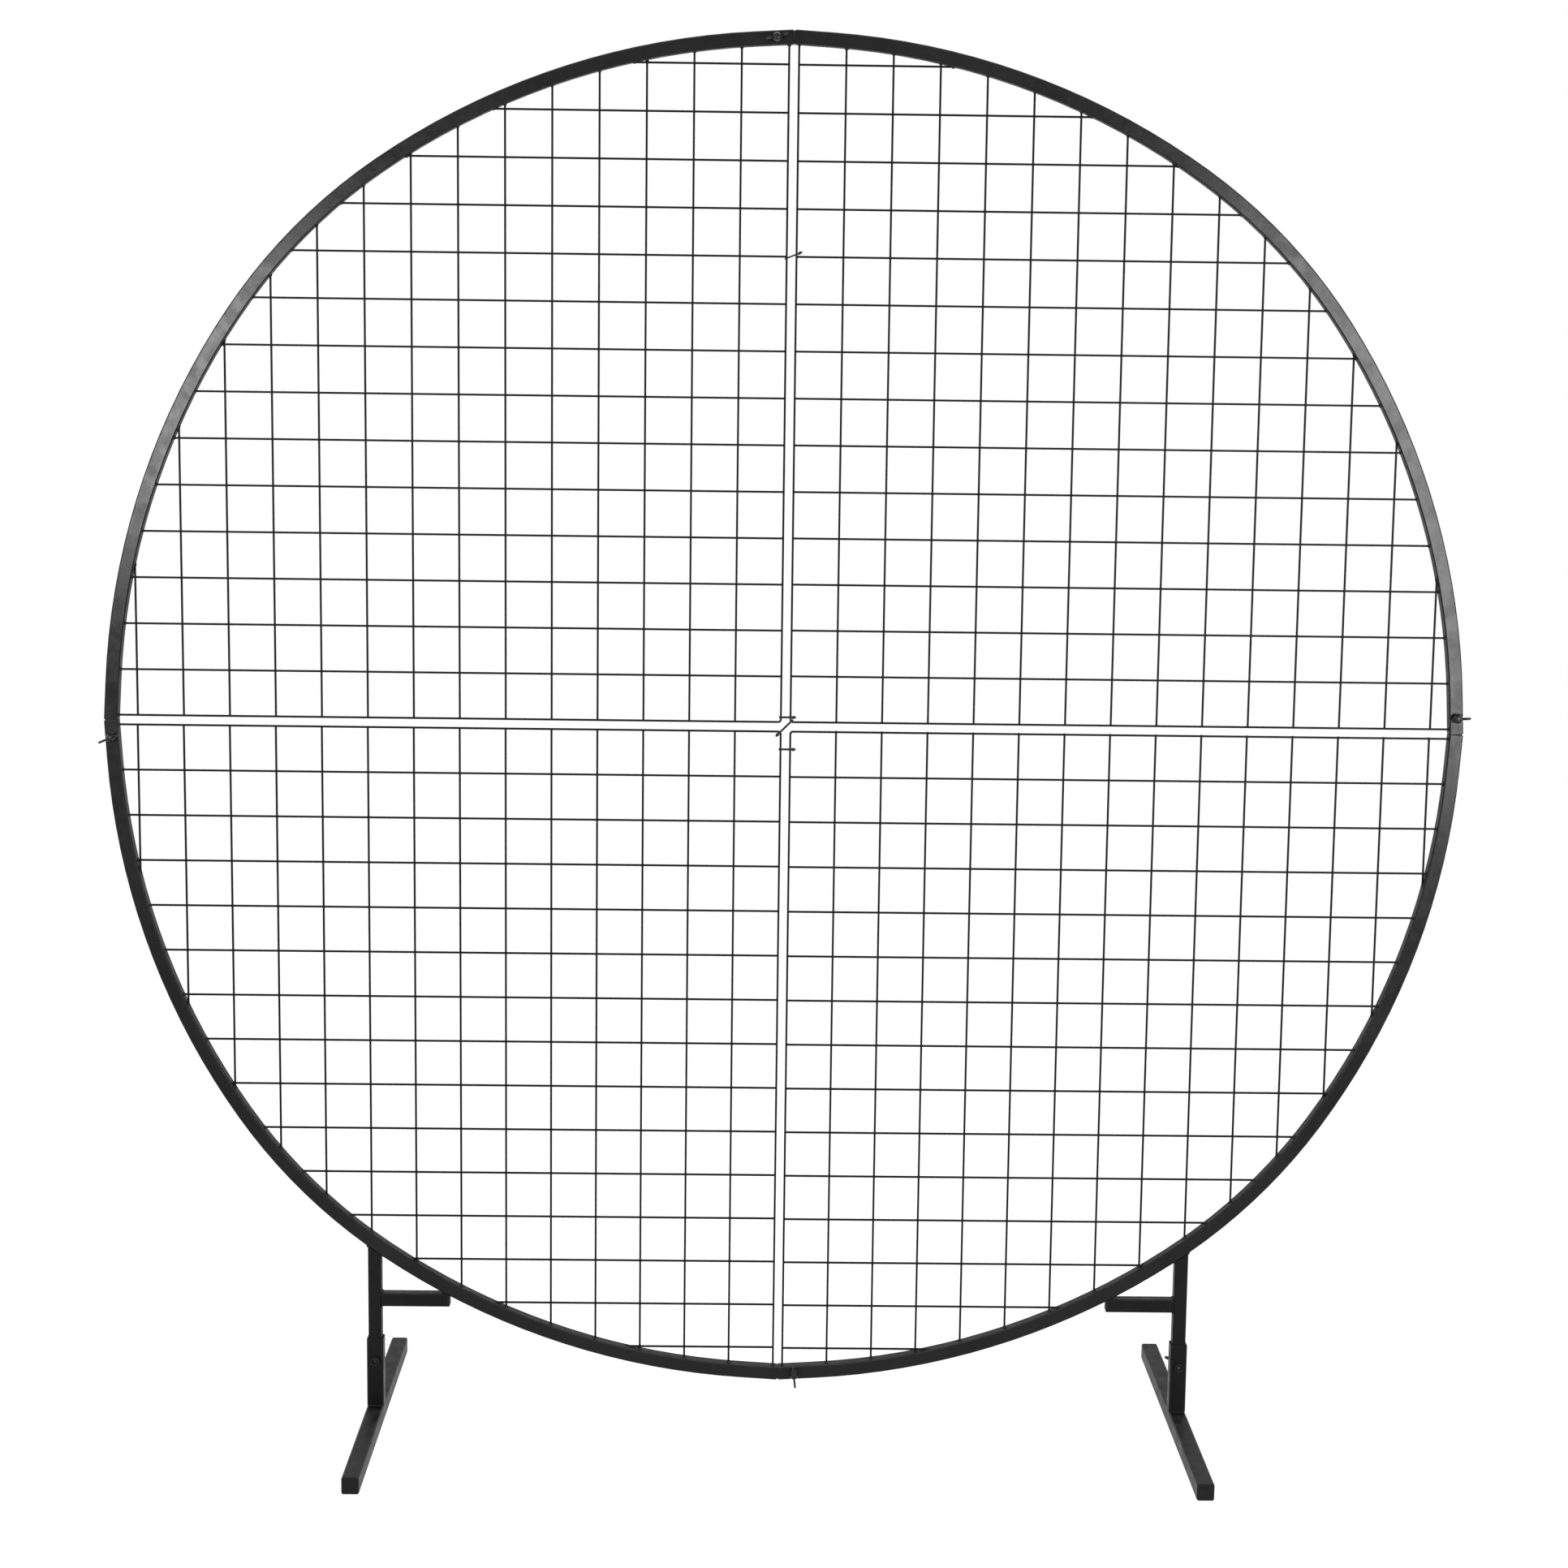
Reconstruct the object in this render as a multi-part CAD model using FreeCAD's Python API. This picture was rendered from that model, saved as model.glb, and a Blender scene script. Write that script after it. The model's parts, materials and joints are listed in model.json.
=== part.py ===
import FreeCAD, Part
import math
import os

# Round wire-mesh backdrop stand: a ring of four equal quarter panels, standing on two feet.
# Sizes are in millimetres. X runs to the right, Y to the back and Z up, as seen from the front.
# The origin is on the floor, midway between the feet and in the middle plane of the ring.

# Ring tube: each quarter has straight ends, which lean in from the joints and so leave them
# open in a V outside, and is rolled tighter in its middle than on its two flanks
ring_r = 1000.0
end_lean = 3.4
end_length = 55.0
flank_extra_r = 70.0
flank_turn = 31.0
tube = 20.0
tube_wall = 1.2
tube_bevel = 1.5
seam_gap = 0.6

# Inner spigot that joins two quarters
spigot_reach = 40.0
spigot_wall = 1.5
spigot_clear = 0.3

# Wire mesh: round wire, drawn with few sides because there are over a hundred lengths of it
wire_d = 3.0
wire_sides = 8
wire_end_gap = 0.03
wire_pitch = 67.5
edge_from_seam = 7.1
edge_bend_r = 4.0
last_wire_margin = 20.0

# Wing screws and the nuts welded on for them, with flats in place of small rounds
screw_d = 8.0
fastener_sides = 12
nut_flats = 13.0
nut_thick = 6.5
thread_clear = 0.1
hole_clear = 0.5
joint_screw_from_seam = 24.0
joint_screw_stand_off = 3.0
screw_tip_clear = 0.2
foot_screw_end_inset = 1.5
foot_screw_seat_clear = 0.2
hub_base_d = 13.0
hub_top_d = 9.0
hub_height = 8.0
wing_span = 33.0
wing_height = 16.0
wing_thick = 2.6
wing_root = 2.0
wing_tip_r = 4.0
wing_tip_flats = 4

# How far the nuts and wing screws happen to be turned, in degrees, as seen from the front
joint_nut_turn = 30.0
foot_nut_turn = 0.0
joint_wing_turns = {"right": 9.0, "top": 12.0, "left": 22.0, "bottom": 97.0}
foot_wing_turns = {"left": 82.0, "right": -11.0}

# Nylon cable ties that hold the quarter panels together at the middle
tie_width = 2.5
tie_thick = 1.0
tie_clear = 0.4
tie_sides = 8
tie_head = 4.0
tie_head_width = 4.4
tie_tail = 2.0
corner_tie_slack = 0.5
corner_tie_turn = 225.0
upper_tie_row = 10
upper_tie_clear = 0.1
near_tie_height = 7.0
low_tie_height = 26.4

# Feet
foot_tube = 25.0
foot_wall = 1.5
foot_length = 600.0
foot_bevel = 2.0
post_x = 610.0
ring_clear = 45.0
socket_wall = 2.0
socket_height = 105.0
foot_screw_height = 71.0
brace_length = 103.0
brace_bite = 3.3
plug_lip = 3.0
plug_rim = 1.0
plug_depth = 14.0
plug_clear = 0.2

# Worked out from the sizes above
flank_r = ring_r + flank_extra_r
middle_start = end_lean + flank_turn
tube_bore = tube - 2 * tube_wall
spigot = tube_bore - 2 * spigot_clear
wire_r = wire_d / 2
front_y = -wire_r
screw_hole_r = screw_d / 2 + hole_clear
nut_bore_r = screw_d / 2 + thread_clear
ring_z = foot_tube + ring_clear + ring_r
wire_reach = ring_r - tube - edge_from_seam - last_wire_margin
wires_each_way = int(wire_reach / wire_pitch)

UP = FreeCAD.Vector(0, 0, 1)
BACK = FreeCAD.Vector(0, 1, 0)
RIGHT = FreeCAD.Vector(1, 0, 0)
TURN = FreeCAD.Vector(0, -1, 0)
RING_CENTRE = FreeCAD.Vector(0, 0, ring_z)
ORIGIN = FreeCAD.Vector(0, 0, 0)

# Quarter turns that carry the upper right panel to each of the four places
PANELS = {"upper_right": 0, "upper_left": 1, "lower_left": 2, "lower_right": 3}
JOINTS = {"right": 0, "top": 1, "left": 2, "bottom": 3}
SIDES = {"left": -1, "right": 1}


def turned(shape, quarters):
    """The shape turned about the middle of the ring and lifted to the ring's height."""
    moved = shape.copy()
    moved.rotate(ORIGIN, TURN, 90.0 * quarters)
    moved.translate(RING_CENTRE)
    return moved


def bevelled_square(size, bevel):
    """Square face in XY about the origin, with a flat bevel at each corner."""
    half = size / 2
    flat = half - bevel
    corners = [(half, flat), (flat, half), (-flat, half), (-half, flat)]
    corners += [(-x, -y) for x, y in corners]
    points = [FreeCAD.Vector(x, y, 0) for x, y in corners]
    return Part.Face(Part.makePolygon(points + points[:1]))


def square_face(size):
    """Square face in XY about the origin."""
    return Part.makePlane(size, size, FreeCAD.Vector(-size / 2, -size / 2, 0))


def square_tube(size, wall, bevel, length):
    """Square tube along Z from the origin, bevelled outside and sharp inside."""
    return bevelled_square(size, bevel).cut(square_face(size - 2 * wall)).extrude(UP * length)


def flat_sided(radius, sides):
    """Face in XY of a rod or bore about the origin, with its flats at the radius given."""
    corner_r = radius / math.cos(math.pi / sides)
    points = []
    for i in range(sides):
        a = 2 * math.pi * (i + 0.5) / sides
        points.append(FreeCAD.Vector(corner_r * math.cos(a), corner_r * math.sin(a), 0))
    return Part.Face(Part.makePolygon(points + points[:1]))


def toward(angle):
    """Direction at an angle in the plane of the ring, in degrees from +X towards +Z."""
    a = math.radians(angle)
    return FreeCAD.Vector(math.cos(a), 0, math.sin(a))


def joint_corner():
    """Outer corner of the right-hand end of the upper right quarter, which is cut off square."""
    height = seam_gap / 2 + tube * toward(end_lean).z
    return FreeCAD.Vector(ring_r, 0, height)


def across_diagonal(point):
    """Mirror image of a point across the diagonal of the upper right quarter."""
    return FreeCAD.Vector(point.z, 0, point.x)


def quarter_bends():
    """Centre, outer radius, start and end of the three bends of the upper right quarter."""
    bend_start = joint_corner() + toward(end_lean + 90) * end_length
    right_centre = bend_start - toward(end_lean) * flank_r
    change = toward(middle_start)
    tighter = (right_centre.z - right_centre.x) / (change.x - change.z)
    middle_centre = right_centre + change * tighter
    return [
        (right_centre, flank_r, end_lean, middle_start),
        (middle_centre, flank_r - tighter, middle_start, 90 - middle_start),
        (across_diagonal(right_centre), flank_r, 90 - middle_start, 90 - end_lean),
    ]


def placed_section(section, centre, radius, angle):
    """A section, drawn with the ring's outer face at x = 0, set at an angle on a bend."""
    placed = section.copy()
    placed.translate(centre + RIGHT * radius)
    placed.rotate(centre, TURN, angle)
    return placed


def bend(section, centre, radius, start, end):
    """A section swept about a bend's centre."""
    return placed_section(section, centre, radius, start).revolve(centre, TURN, end - start)


def quarter_disc(depth):
    """The quarter of space inside the ring's outline, to a depth about its middle plane."""
    edges = []
    for centre, radius, start, end in quarter_bends():
        marks = [centre + toward(a) * radius for a in (start, (start + end) / 2, end)]
        edges.append(Part.Arc(*marks).toShape())
    first = edges[0].Vertexes[0].Point
    last = edges[-1].Vertexes[-1].Point
    corner = joint_corner()
    lines = [last, across_diagonal(corner), ORIGIN, corner, first]
    edges += [Part.makeLine(*ends) for ends in zip(lines, lines[1:])]
    face = Part.Face(Part.Wire(edges))
    face.translate(BACK * (-depth / 2))
    return face.extrude(BACK * depth)


def outline_above(x, inset):
    """Point above x on the ring's outline drawn in by inset, and the outward direction there."""
    for centre, radius, start, end in quarter_bends():
        if x >= (centre + toward(end) * (radius - inset)).x:
            rise = math.sqrt((radius - inset) ** 2 - (x - centre.x) ** 2)
            point = FreeCAD.Vector(x, 0, centre.z + rise)
            return point, (point - centre).normalize()
    outward = toward(90 - end_lean)
    corner = across_diagonal(joint_corner()) - outward * inset
    height = corner.z + (corner.x - x) * outward.x / outward.z
    return FreeCAD.Vector(x, 0, height), outward


def ring_height(x):
    """Height above the middle of the ring, at x, of its outer face."""
    return outline_above(x, 0)[0].z


def joint_screw_place():
    """Where the screw of the right-hand joint crosses the middle of the tube."""
    end_middle = joint_corner() - toward(end_lean) * (tube / 2)
    return end_middle + toward(end_lean + 90) * joint_screw_from_seam


def ring_quarter():
    """One quarter of the ring: a rolled square tube with the screw hole near its right-hand end."""
    section = bevelled_square(tube, tube_bevel).cut(square_face(tube_bore))
    section.translate(RIGHT * (-tube / 2))
    bends = quarter_bends()
    centre, radius, start, end = bends[0]
    right_end = placed_section(section, centre, radius, start)
    pieces = [right_end.extrude(toward(start - 90) * end_length)]
    centre, radius, start, end = bends[-1]
    top_end = placed_section(section, centre, radius, end)
    pieces.append(top_end.extrude(toward(end + 90) * end_length))
    pieces += [bend(section, *values) for values in bends]
    quarter = pieces[0].fuse(pieces[1:])
    start = joint_screw_place() + BACK * (-tube / 2 - tube_wall)
    return quarter.cut(Part.makeCylinder(screw_hole_r, 3 * tube_wall, start, BACK))


def ring_spigot():
    """Smaller tube inside both ends of the right-hand joint, with the same angle between them."""
    section = square_face(spigot).cut(square_face(spigot - 2 * spigot_wall))
    half = placed_section(section, ORIGIN, 0, end_lean)
    half.translate(joint_corner() - toward(end_lean) * (tube / 2))
    half = half.extrude(toward(end_lean + 90) * spigot_reach).fuse(half.extrude(toward(end_lean - 90) * tube))
    below = Part.makeBox(4 * tube, 2 * tube, 2 * tube, FreeCAD.Vector(ring_r - 3 * tube, -tube, -2 * tube))
    half = half.cut(below)
    return half.fuse(half.mirror(ORIGIN, UP)).removeSplitter()


def upright_wire(x, start):
    """Upright wire of the upper right panel, from a height up to the ring's inner face."""
    end, across = outline_above(x, tube)
    spare = 4 * wire_d
    section = flat_sided(wire_r, wire_sides)
    section.translate(FreeCAD.Vector(x, front_y, start))
    wire = section.extrude(UP * (end.z + spare - start))
    beyond = Part.makeCylinder(3 * spare, 3 * spare, end - across * wire_end_gap, across)
    return wire.cut(beyond)


def upright_wires(start):
    """The wires of the upper right panel that stand side by side from one height."""
    places = [edge_from_seam + (i + 1) * wire_pitch for i in range(wires_each_way)]
    return Part.makeCompound([upright_wire(x, start) for x in places])


def laid_level(shape):
    """Mirror image of an upright piece across the diagonal of the upper right panel."""
    return shape.mirror(ORIGIN, FreeCAD.Vector(1, 0, -1))


def front_wires():
    """Upright wires of the upper right panel, standing on the level leg of its edge wire."""
    return upright_wires(edge_from_seam + wire_r)


def back_wires():
    """Level wires of the upper right panel, lapped behind the upright wires."""
    wires = laid_level(upright_wires(edge_from_seam - wire_r))
    wires.translate(BACK * wire_d)
    return wires


def edge_wire():
    """One wire along both straight sides of the upper right panel, bent at the inner corner."""
    leg_start = edge_from_seam + edge_bend_r
    upright = upright_wire(edge_from_seam, leg_start)
    section = flat_sided(wire_r, wire_sides)
    section.translate(FreeCAD.Vector(edge_from_seam, front_y, leg_start))
    corner = section.revolve(FreeCAD.Vector(leg_start, 0, leg_start), TURN, 90)
    return corner.fuse([upright, laid_level(upright)])


def tapered_block(low_r, high_r, height):
    """Solid on XY about the Z axis, from one many-sided outline up to a narrower one."""
    low = flat_sided(low_r, fastener_sides)
    high = flat_sided(high_r, fastener_sides)
    high.translate(UP * height)
    faces = [low, high]
    rims = zip(low.OuterWire.OrderedVertexes, high.OuterWire.OrderedVertexes)
    pairs = [(below.Point, above.Point) for below, above in rims]
    for here, after in zip(pairs, pairs[1:] + pairs[:1]):
        corners = [here[0], after[0], after[1], here[1]]
        faces.append(Part.Face(Part.makePolygon(corners + corners[:1])))
    return Part.makeSolid(Part.makeShell(faces))


def hex_nut():
    """Nut lying on XY about the Z axis, with a plain bore."""
    face = flat_sided(nut_flats / 2, 6).cut(flat_sided(nut_bore_r, fastener_sides))
    return face.extrude(UP * nut_thick)


def wing_outline():
    """Face of one wing in XZ: low at the hub, flared up and out to a round tip."""
    tip_x = wing_span / 2 - wing_tip_r
    tip_z = wing_height - wing_tip_r
    first = math.atan2(tip_z - wing_root, tip_x) - math.pi / 2
    step = (math.pi / 2 - first) / wing_tip_flats
    points = [FreeCAD.Vector(0, 0, wing_root)]
    for i in range(wing_tip_flats + 1):
        a = first + i * step
        around = FreeCAD.Vector(math.cos(a), 0, math.sin(a))
        points.append(FreeCAD.Vector(tip_x, 0, tip_z) + around * wing_tip_r)
    points.append(FreeCAD.Vector(hub_top_d / 2, 0, hub_height))
    points.append(FreeCAD.Vector(0, 0, hub_height))
    return Part.Face(Part.makePolygon(points + points[:1]))


def wing_screw(shank):
    """Wing screw about the Z axis, its hub standing on XY and its shank going down from there."""
    inside = math.cos(math.pi / fastener_sides)
    rod = flat_sided(screw_d / 2 * inside, fastener_sides).extrude(UP * -shank)
    hub = tapered_block(hub_base_d / 2, hub_top_d / 2, hub_height)
    wing = wing_outline()
    wing.translate(BACK * (-wing_thick / 2))
    wing = wing.extrude(BACK * wing_thick)
    other = wing.copy()
    other.rotate(ORIGIN, UP, 180)
    return hub.fuse([rod, wing, other])


def facing_front(shape, place, turn):
    """Stand a shape on a front face: its Z axis points to the front, through the place given."""
    moved = shape.copy()
    moved.rotate(ORIGIN, RIGHT, 90)
    moved.rotate(ORIGIN, TURN, turn)
    moved.translate(place)
    return moved


def facing_back(shape, place, turn):
    """Stand a shape on a back face: its Z axis points to the back, through the place given."""
    moved = shape.copy()
    moved.rotate(ORIGIN, RIGHT, -90)
    moved.rotate(ORIGIN, TURN, turn)
    moved.translate(place)
    return moved


def joint_nut():
    """Nut welded on the front of the tube, over the hole of the right-hand joint."""
    place = joint_screw_place() + BACK * (-tube / 2)
    return facing_front(hex_nut(), place, joint_nut_turn)


def joint_wing_screw(name):
    """Wing screw of one joint, turned as it was left, with its tip on the spigot."""
    hub_y = -tube / 2 - nut_thick - joint_screw_stand_off
    spigot_y = -spigot / 2 - screw_tip_clear
    screw = facing_front(wing_screw(spigot_y - hub_y), ORIGIN, joint_wing_turns[name])
    place = turned(Part.Vertex(joint_screw_place()), JOINTS[name]).Point
    screw.translate(place + BACK * hub_y)
    return screw


def loop_outline(spacing, radius, slope):
    """Face of a long loop about two wires along Z, a distance apart along X, rising with X."""
    corner_r = radius / math.cos(math.pi / tie_sides)
    points = []
    for i in range(tie_sides):
        a = math.pi * (2 * i + 1) / tie_sides - math.pi / 2
        x = math.copysign(spacing / 2, math.cos(a)) + corner_r * math.cos(a)
        points.append(FreeCAD.Vector(x, corner_r * math.sin(a), slope * x))
    return Part.Face(Part.makePolygon(points + points[:1]))


def tie_block(start_x, length, thick, width, slope):
    """Block of a tie beyond its loop, a width along Z and rising with X like the loop."""
    points = []
    for x, y in [(0, -1), (length, -1), (length, 1), (0, 1)]:
        z = slope * (start_x + x) - width / 2
        points.append(FreeCAD.Vector(start_x + x, y * thick / 2, z))
    return Part.Face(Part.makePolygon(points + points[:1])).extrude(UP * width)


def cable_tie(spacing, slope):
    """Closed tie about two wires along Z, with its head and cut tail on the right."""
    inner_r = wire_r + tie_clear
    head_x = spacing / 2 + inner_r + tie_thick / 2
    band = loop_outline(spacing, inner_r + tie_thick, slope)
    band = band.cut(loop_outline(spacing, inner_r, slope)).extrude(UP * tie_width)
    band.translate(UP * (-tie_width / 2))
    head = tie_block(head_x, tie_head, tie_head, tie_head_width, slope)
    tail = tie_block(head_x + tie_head, tie_tail, tie_thick, tie_width, slope)
    return band.fuse([head, tail])


def placed_tie(tie, turn, height):
    """A tie turned in the plane of the mesh and moved up the upright seam."""
    tie.rotate(ORIGIN, TURN, turn)
    tie.translate(RING_CENTRE + FreeCAD.Vector(0, front_y, height))
    return tie.Solids[0]


def cable_ties():
    """The four ties: one high on the upright seam and three about the inner corners."""
    seam = 2 * edge_from_seam
    upper_slope = (wire_d + tie_width + 2 * upper_tie_clear) / seam
    upper_height = edge_from_seam + upper_tie_row * wire_pitch + wire_r * upper_slope
    bend_inset = edge_bend_r * (math.sqrt(2) - 1)
    corner_spacing = 2 * (edge_from_seam * math.sqrt(2) + bend_inset + corner_tie_slack)
    near_height = edge_from_seam + near_tie_height
    low_height = -edge_from_seam - low_tie_height
    return {
        "cable_tie_upper": placed_tie(cable_tie(seam, upper_slope), 0, upper_height),
        "cable_tie_near_middle": placed_tie(cable_tie(seam, 0), 0, near_height),
        "cable_tie_diagonal": placed_tie(cable_tie(corner_spacing, 0), corner_tie_turn, 0),
        "cable_tie_lower": placed_tie(cable_tie(seam, 0), 0, low_height),
    }


def ring_side_disc(side):
    """All that lies inside the ring's outline, in the lower quarter on one side."""
    return turned(quarter_disc(2 * tube), PANELS["lower_left" if side < 0 else "lower_right"])


def screw_hole(side, start_y, length):
    """Hole for the clamping screw of a foot, along Y."""
    start = FreeCAD.Vector(side * post_x, start_y, foot_tube + foot_screw_height)
    return Part.makeCylinder(screw_hole_r, length, start, BACK)


def post(side):
    """Upright tube that stands in the socket and is cut to the ring at its top."""
    height = ring_z - ring_height(post_x + tube / 2) + tube - foot_tube
    shape = square_tube(tube, tube_wall, tube_bevel, height)
    shape.translate(FreeCAD.Vector(side * post_x, 0, foot_tube))
    shape = shape.cut([ring_side_disc(side), screw_hole(side, -tube, 2 * tube)])
    return shape.Solids[0]


def brace_height():
    """Height of the brace's middle, at which the ring bites into its inner top corner."""
    end_x = post_x - tube / 2 - brace_length
    return ring_z - ring_height(end_x) + brace_bite - tube / 2


def along_brace(shape, side, start_x):
    """Lay a shape that runs up Z along the brace, from start_x towards the middle."""
    moved = shape.copy()
    moved.rotate(ORIGIN, BACK, -90 * side)
    moved.translate(FreeCAD.Vector(side * start_x, 0, brace_height()))
    return moved


def brace(side):
    """Level tube from the post to the ring, cut to the ring at its inner end."""
    shape = square_tube(tube, tube_wall, tube_bevel, brace_length - plug_lip)
    return along_brace(shape, side, post_x - tube / 2).cut(ring_side_disc(side)).Solids[0]


def end_plug(size, wall, bevel):
    """Plug for a square tube: its lip starts on XY and its shank goes down into the tube."""
    lip = bevelled_square(size, bevel).extrude(UP * plug_lip)
    rim = [edge for edge in lip.Edges if edge.BoundBox.ZMin > plug_lip / 2]
    lip = lip.makeChamfer(plug_rim, rim)
    return lip.fuse(square_face(size - 2 * (wall + plug_clear)).extrude(UP * -plug_depth))


def brace_plug(side):
    """Plug in the inner end of the brace, trimmed by the ring like the brace itself."""
    plug = end_plug(tube, tube_wall, tube_bevel)
    start_x = post_x - tube / 2 - brace_length + plug_lip
    return along_brace(plug, side, start_x).cut(ring_side_disc(side)).Solids[0]


def socket(side):
    """Upright tube on the foot bar that takes the post, drilled through for its screw."""
    shape = square_tube(foot_tube, socket_wall, foot_bevel, socket_height)
    shape.translate(FreeCAD.Vector(side * post_x, 0, foot_tube))
    return shape.cut(screw_hole(side, -foot_tube, 2 * foot_tube))


def foot_bar(side):
    """Square tube on the floor, from front to back, between its two plugs."""
    length = foot_length - 2 * plug_lip
    bar = square_tube(foot_tube, foot_wall, foot_bevel, length)
    bar.rotate(ORIGIN, RIGHT, -90)
    bar.translate(FreeCAD.Vector(side * post_x, -length / 2, foot_tube / 2))
    return bar


def foot_plug(side, back):
    """Plug in one end of a foot bar; back is -1 at the front end and 1 at the back end."""
    plug = end_plug(foot_tube, foot_wall, foot_bevel)
    plug.rotate(ORIGIN, RIGHT, -90 * back)
    end_y = back * (foot_length / 2 - plug_lip)
    plug.translate(FreeCAD.Vector(side * post_x, end_y, foot_tube / 2))
    return plug


def foot_nut(side):
    """Nut welded on the front of the socket."""
    place = FreeCAD.Vector(side * post_x, -foot_tube / 2, foot_tube + foot_screw_height)
    return facing_front(hex_nut(), place, foot_nut_turn)


def foot_wing_screw(side, turn):
    """Wing screw put in from behind, through socket and post, into the nut at the front."""
    hub_y = foot_tube / 2 + foot_screw_seat_clear
    end_y = -foot_tube / 2 - nut_thick + foot_screw_end_inset
    place = FreeCAD.Vector(side * post_x, hub_y, foot_tube + foot_screw_height)
    return facing_back(wing_screw(hub_y - end_y), place, turn)


def build():
    """Every piece of the stand, by name; what is alike and fixed is one group of solids."""
    parts = {}
    quarter = ring_quarter()
    edge = edge_wire()
    front = front_wires()
    back = back_wires()
    for name, quarters in PANELS.items():
        parts["ring_quarter_" + name] = turned(quarter, quarters)
        parts["edge_wire_" + name] = turned(edge, quarters)
        parts["front_wires_" + name] = turned(front, quarters)
        parts["back_wires_" + name] = turned(back, quarters)
    spigot_tube = ring_spigot()
    for name, quarters in JOINTS.items():
        parts["ring_spigot_" + name] = turned(spigot_tube, quarters)
        parts["joint_wing_screw_" + name] = joint_wing_screw(name)
    nut = joint_nut()
    parts["joint_nuts"] = Part.makeCompound([turned(nut, i) for i in JOINTS.values()])
    parts.update(cable_ties())
    for name, side in SIDES.items():
        parts["post_" + name] = post(side)
        parts["brace_" + name] = brace(side)
        parts["socket_" + name] = socket(side)
        parts["foot_bar_" + name] = foot_bar(side)
        parts["foot_wing_screw_" + name] = foot_wing_screw(side, foot_wing_turns[name])
    parts["brace_plugs"] = Part.makeCompound([brace_plug(side) for side in SIDES.values()])
    parts["foot_nuts"] = Part.makeCompound([foot_nut(side) for side in SIDES.values()])
    ends = [(side, back) for side in SIDES.values() for back in (-1, 1)]
    parts["foot_plugs"] = Part.makeCompound([foot_plug(*end) for end in ends])
    return parts


os.makedirs("parts", exist_ok=True)
for part_name, part_shape in build().items():
    part_shape.exportStep(os.path.join("parts", part_name + ".step"))
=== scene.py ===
import json
import math

import bmesh
import bpy
from mathutils import Matrix, Vector, noise

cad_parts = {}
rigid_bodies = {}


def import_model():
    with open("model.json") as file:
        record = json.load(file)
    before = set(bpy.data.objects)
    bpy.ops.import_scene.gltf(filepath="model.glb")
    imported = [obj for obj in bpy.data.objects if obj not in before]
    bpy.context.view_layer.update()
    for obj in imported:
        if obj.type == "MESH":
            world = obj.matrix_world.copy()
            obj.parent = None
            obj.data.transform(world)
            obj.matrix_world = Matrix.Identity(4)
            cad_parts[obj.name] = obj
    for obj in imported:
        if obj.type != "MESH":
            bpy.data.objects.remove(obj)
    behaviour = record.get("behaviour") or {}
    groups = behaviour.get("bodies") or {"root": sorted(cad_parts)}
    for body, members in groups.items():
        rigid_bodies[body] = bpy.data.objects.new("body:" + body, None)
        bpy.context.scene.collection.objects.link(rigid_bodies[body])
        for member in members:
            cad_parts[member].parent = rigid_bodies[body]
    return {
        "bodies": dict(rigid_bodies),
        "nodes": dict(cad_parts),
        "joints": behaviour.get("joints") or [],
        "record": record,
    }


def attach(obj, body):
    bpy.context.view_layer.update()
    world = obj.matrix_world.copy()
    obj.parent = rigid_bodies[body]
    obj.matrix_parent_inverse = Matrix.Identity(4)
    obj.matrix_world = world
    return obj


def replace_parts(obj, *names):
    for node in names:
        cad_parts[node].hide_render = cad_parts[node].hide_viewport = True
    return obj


# Camera, found from the ring, the wires and the feet in the photograph
CAMERA_AT = (-0.0594, -4.272, 1.614)
CAMERA_YAW = 0.78
CAMERA_PITCH = -8.38
CAMERA_ROLL = 0.734
CAMERA_LENS = 67.07
SENSOR = 36.0

# Sizes that the details share with the solids, in metres
RING_R = 1.0
END_LEAN = math.radians(3.4)
END_LENGTH = 0.055
FLANK_EXTRA_R = 0.07
FLANK_TURN = math.radians(31)
SEAM_GAP = 0.0006
TUBE = 0.020
FOOT_TUBE = 0.025
RING_Z = 1.070
WIRE_R = 0.0015
WIRE_PITCH = 0.0675
EDGE_FROM_SEAM = 0.0071
WIRES_EACH_WAY = 14
POST_X = 0.610
BRACE_LENGTH = 0.103
BRACE_BITE = 0.0033
FOOT_SCREW_Z = 0.096
SCREW_FROM_SEAM = 0.024
SCREW_R = 0.004
THREAD_PITCH = 0.00125
NUT_FLATS = 0.013
NUT_THICK = 0.0065
NUT_BORE_R = 0.0041
SPIGOT_FACE = 0.0087
JOINT_STAND_OFF = 0.003
FOOT_HUB_GAP = 0.0002
FOOT_TIP_INSET = 0.0015
JOINT_WING_TURNS = {"right": 9, "top": 12, "left": 22, "bottom": 97}
FOOT_WING_TURNS = {"left": 82, "right": -11}

PANELS = {"upper_right": 0, "upper_left": 1, "lower_left": 2, "lower_right": 3}
JOINTS = {"right": 0, "top": 1, "left": 2, "bottom": 3}
SIDES = {"left": -1, "right": 1}

# Stage: reach of the floor, and how strongly the room lights the stand from front and back
FLOOR_HALF = 10
FLOOR_FRONT = -1.3
FLOOR_BACK = 12
ROOM_FRONT = 0.10
ROOM_BACK = 0.8

# Weld beads: radius of each kind, and how far they stop short of the corners
POST_BEAD_R = 0.0024
BRACE_BEAD_R = 0.0020
RING_BEAD_R = 0.0022
FOOT_BEAD_R = 0.0021
BEAD_INSET = 0.0012
FOOT_BEAD_INSET = 0.0015

# Cast wings
WING_HALF = 0.0015
WING_ROUND = 0.0008


# Camera, stage and light

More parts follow.
